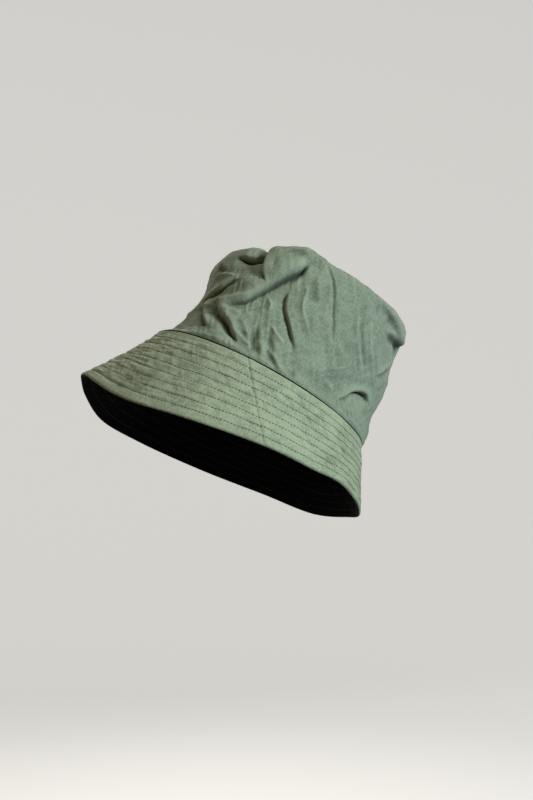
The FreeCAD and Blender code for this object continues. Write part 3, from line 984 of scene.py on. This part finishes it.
def build_lining(points, azimuth, along):
    outer, normal = lining_surface(points)
    inner = outer - normal * CLOTH
    uv = cloth_uv(azimuth, along)
    side = np.append(np.arange(0, SIDE_ROWS, 2), SIDE_ROWS)
    for half in ("front", "back"):
        columns = panel_columns(half)[::2]
        pick = np.ix_(side, columns)
        piece = sheet(f"lining_side_{half}_cloth", outer[pick], inner[pick], uv[pick])
        dress(piece, black_cloth, f"lining_side_{half}")
    last = len(outer) - 1
    pick = np.ix_(np.append(np.arange(SIDE_ROWS, last, 2), last), np.arange(0, COLUMNS, 2))
    tip = sheet("lining_tip_cloth", outer[pick], inner[pick], outer[pick][..., :2], closed=True)
    dress(tip, black_cloth, "lining_tip")
    build_lining_seams(inner, normal)
    return inner, normal


def ribbon(name, centre, across, normal, half_width, thickness):
    """A flat tape along a line of points: its surface stands on the cloth along the normal."""
    steps = np.linspace(-1, 1, 7)
    round_edge = np.sqrt(np.clip(1 - steps ** 6, 0, 1))
    top = centre[None] + across[None] * (steps * half_width)[:, None, None]
    top = top + normal[None] * (round_edge * thickness)[:, None, None]
    low = centre[None] + across[None] * (steps * half_width)[:, None, None]
    travelled = np.concatenate([[0], np.cumsum(np.linalg.norm(np.diff(centre, axis=0), axis=1))])
    uv = np.stack(np.broadcast_arrays(travelled[None, :], (steps * half_width)[:, None]), axis=2)
    return sheet(name, top, low, uv)


def build_lining_seams(inner, normal):
    """Tapes over the lining's side seams, and the stitches of its seams."""
    rows = np.arange(3, SIDE_ROWS - 6)
    for number, seam in enumerate(SEAM_COLUMNS):
        centre, out = inner[rows, seam], -normal[rows, seam]
        along_cloth = np.roll(inner, -2, axis=1)[rows, seam] - np.roll(inner, 2, axis=1)[rows, seam]
        across = along_cloth / np.linalg.norm(along_cloth, axis=1, keepdims=True)
        tape = ribbon(f"side_seam_tape_{number}", centre + out * 0.35 * MM, across, out, 5.0 * MM, 0.6 * MM)
        dress(tape, tape_and_seam_shade_cloth, "side_seam_tapes")
    closed = np.append(np.arange(COLUMNS), 0)
    for seam, row in (("crown_seam", 2), ("tip_seam", SIDE_ROWS - 3)):
        line = (inner[row][closed], -normal[row][closed])
        piece = stitches(f"{seam}_stitching", [line], 0.25 * MM, 2.6 * MM)
        dress(piece, black_thread, f"{seam}_thread")
    build_label(inner)


def build_label(inner):
    """A blank label, flat on the lining at the middle of the back."""
    back = FRONT_COLUMNS + BACK_COLUMNS // 2
    wall = inner[6:60, back - 50:back + 50].reshape(-1, 3)
    x, z = np.meshgrid(np.linspace(16, -16, 33) * MM, np.linspace(13, 37.5, 26) * MM)
    apart = (x[..., None] - wall[:, 0]) ** 2 + (z[..., None] - wall[:, 2]) ** 2
    weight = np.exp(-apart / (2.5 * MM) ** 2)
    y = (weight * wall[:, 1]).sum(axis=2) / weight.sum(axis=2)
    front, rear = (np.stack([x, y - lift * MM, z], axis=2) for lift in (1.1, 0.6))
    label = sheet("blank_label", front, rear, np.stack([x, z], axis=2))
    dress(label, label_cloth, "care_label")


def build_crown_seam_shade_strip(points):
    """The narrow black strip that shows as a line where the crown meets the brim: painted shade, a dark line
    that stands in for the shadow in the seam's groove.
    """
    top = brim_layer(0.0, 1.0)[0]
    foot = points[0]
    rounds = np.linspace(-1, 1, 9)
    bead = (1.1 * np.sqrt(1 - rounds * rounds) - 0.3) * MM
    outer = np.stack([foot + (top - foot) * (0.5 + 0.85 * place) + brim_normal[0] * rise
                      for place, rise in zip(rounds, bead)])
    inner = outer - brim_normal[0][None] * 0.5 * MM
    around = np.radians(brim_azimuth[:1]) * 95 * MM
    uv = np.stack(np.broadcast_arrays(around, rounds[:, None] * 0.7 * MM), axis=2)
    tape = sheet("crown_seam_shade_strip", inner, outer, uv, closed=True)
    dress(tape, tape_and_seam_shade_cloth, "crown_seam_tape")


crown_points, crown_azimuth, crown_along = build_crown()
brim_points, brim_normal, brim_out, brim_azimuth, brim_share = brim_surface()


def brim_layer(depth, relief_share, edge=0.0):
    """Grid at a depth under the brim's smooth surface, with a share of the quilting's relief;
    towards the edge it turns in to the middle of the brim."""
    slant = BRIM_SLANT * (brim_share - 1) + 1.5 * MM
    turned = 1 - np.sqrt(1 - np.clip(slant / (1.5 * MM), 0, 1) ** 2)
    depth = depth + (BRIM_THICKNESS / 2 - depth) * turned * edge
    relief = brim_out * relief_share * (1 - turned * edge)[:, None]
    return brim_points + brim_normal * (relief - depth[:, None])[..., None]


def build_brim():
    around = np.radians(brim_azimuth) * BRIM_RADIUS
    down = np.broadcast_to((brim_share * 74 * MM)[:, None], around.shape)
    uv = np.stack([around, down], axis=2)
    # Painted light and shade: the quilting's relief becomes the crease attribute, which lightens the colour
    # on the puffs and darkens it in the dips at the rows of stitches.
    crease = np.clip(brim_out / (4.5 * MM), -0.16, 0.25)
    middle = BRIM_THICKNESS / 2
    layers = (
        ("brim_top", 0.0, 1.0, CLOTH, 0.8, lit_brim_cloth, "outer_cloth"),
        ("brim_interlining", middle - 0.4 * MM, 0.0, middle + 0.4 * MM, 0.0, canvas, "interlining"),
        ("brim_under", BRIM_THICKNESS - CLOTH, -0.6, BRIM_THICKNESS, -0.8, black_cloth, "inner_cloth"),
    )
    for name, top, top_relief, bottom, bottom_relief, material, slot in layers:
        edge = 0.0 if name == "brim_interlining" else 1.0
        outer = brim_layer(top, top_relief, edge)
        inner = brim_layer(bottom, bottom_relief, edge)
        rows = np.arange(len(outer))
        if name == "brim_interlining":
            rows = rows[2:-12]
        for half in ("front", "back"):
            pick = np.ix_(rows, panel_columns(half))
            piece = sheet(f"{name}_{half}_cloth", *(grid[pick] for grid in (inner, outer, uv, crease)))
            dress(piece, material, f"{name}_{half}")


def build_brim_stitches():
    top = brim_layer(0.0, 1.0)
    under = brim_layer(BRIM_THICKNESS, -0.8)
    rows = [STEPS_PER_ROW * number for number in range(1, ROW_COUNT + 1)]
    closed = np.append(np.arange(COLUMNS), 0)
    for name, side, way, radius, material, slot, node in (
            ("brim_topstitching", top, 1, 0.34, green_thread, "green_thread", "brim_stitch_rows"),
            ("brim_bobbin_stitching", under, -1, 0.28, black_thread, "black_thread", "brim_bobbin_rows")):
        lines = [(side[row][closed], way * brim_normal[row][closed]) for row in rows]
        dress(stitches(name, lines, radius * MM, 2.8 * MM), material, node)


build_brim()
build_brim_stitches()
build_crown_seam_shade_strip(crown_points)
build_lining(crown_points, crown_azimuth, crown_along)


# ---------------------------------------- stage, light and camera

CAMERA_AZIMUTH = 75.0
CAMERA_ELEVATION = -13.7
CAMERA_ROLL = 28.0
CAMERA_DISTANCE = 0.934
CAMERA_LENS = 49.5
AIM_RIGHT = 6.1 * MM
AIM_UP = -6.15 * MM


def view_axes():
    """The camera's right, up and back directions."""
    azimuth, elevation = math.radians(CAMERA_AZIMUTH), math.radians(CAMERA_ELEVATION)
    back = Vector((math.sin(azimuth) * math.cos(elevation), -math.cos(azimuth) * math.cos(elevation),
                   math.sin(elevation)))
    level = (-back).cross(Vector((0, 0, 1))).normalized()
    upright = level.cross(-back)
    roll = math.radians(CAMERA_ROLL)
    right = level * math.cos(roll) + upright * math.sin(roll)
    up = -level * math.sin(roll) + upright * math.cos(roll)
    return right, up, back


def build_camera():
    right, up, back = view_axes()
    data = bpy.data.cameras.new("camera")
    data.lens = CAMERA_LENS
    data.sensor_width = 36.0
    data.clip_start, data.clip_end = 0.05, 50.0
    camera = bpy.data.objects.new("camera", data)
    bpy.context.collection.objects.link(camera)
    place = right * AIM_RIGHT + up * AIM_UP + back * CAMERA_DISTANCE
    turned = Matrix((right, up, back)).transposed().to_4x4()
    camera.matrix_world = Matrix.Translation(place) @ turned
    bpy.context.scene.camera = camera


def build_stage():
    """A pale closed dome: a flat floor far below the hat, a curve, and walls that meet above."""
    right, up, back = view_axes()
    steps, turns = 28, 96
    radius, corner, wall, depth = 2.6, 1.4, 3.2, 1.05
    profile = [(radius * k / 6, 0.0) for k in range(7)]
    profile += [(radius + corner * math.sin(a), corner * (1 - math.cos(a)))
                for a in np.linspace(0, math.pi / 2, steps)[1:]]
    profile += [((radius + corner) * math.cos(a), corner + wall * (1 + 0.8 * math.sin(a)))
                for a in np.linspace(0, 1.56, steps)]
    profile = np.array(profile)
    angle = np.linspace(0, 2 * np.pi, turns, endpoint=False)
    points = (np.array(right)[None, None] * (profile[:, None, :1] * np.cos(angle)[None, :, None])
              + np.array(back)[None, None] * (profile[:, None, :1] * np.sin(angle)[None, :, None])
              + np.array(up)[None, None] * (profile[:, None, 1:] - depth))
    stage = add_mesh("stage", points.reshape(-1, 3), grid_faces(len(profile), turns, closed=True))
    material, _, shader = new_material("stage_paint")
    shader.inputs["Base Color"].default_value = (0.80, 0.785, 0.75, 1)
    shader.inputs["Roughness"].default_value = 0.9
    shader.inputs["Emission Color"].default_value = (1.0, 0.985, 0.95, 1)
    shader.inputs["Emission Strength"].default_value = 0.50
    stage.data.materials.append(material)
    stage.visible_diffuse = False


def add_light(name, right_m, up_m, back_m, size, power, colour):
    """A soft square lamp placed in the camera's directions, aimed at the hat."""
    right, up, back = view_axes()
    data = bpy.data.lights.new(name, "AREA")
    data.shape = "SQUARE"
    data.size = size
    data.energy = power
    data.color = colour
    lamp = bpy.data.objects.new(name, data)
    place = right * right_m + up * up_m + back * back_m
    lamp.location = place
    lamp.visible_camera = False
    lamp.rotation_mode = "QUATERNION"
    lamp.rotation_quaternion = (-place).to_track_quat("-Z", "Y")
    bpy.context.collection.objects.link(lamp)


def build_light():
    add_light("key", 1.76, 0.55, 1.25, 0.7, 50, (0.94, 0.98, 1.0))
    add_light("top", 0.0, 2.0, 0.6, 1.0, 11, (1.0, 0.92, 0.74))
    add_light("fill", -1.8, 0.3, 1.0, 1.2, 6, (1.0, 0.66, 0.42))
    add_light("rear", -0.3, 0.9, -2.0, 1.6, 24, (1.0, 0.98, 0.95))
    world = bpy.data.worlds.new("world")
    world.use_nodes = True
    world.node_tree.nodes["Background"].inputs[0].default_value = (1.0, 0.93, 0.82, 1)
    world.node_tree.nodes["Background"].inputs[1].default_value = 0.03
    bpy.context.scene.world = world
    bpy.context.scene.view_settings.view_transform = "Standard"


build_camera()
build_stage()
build_light()
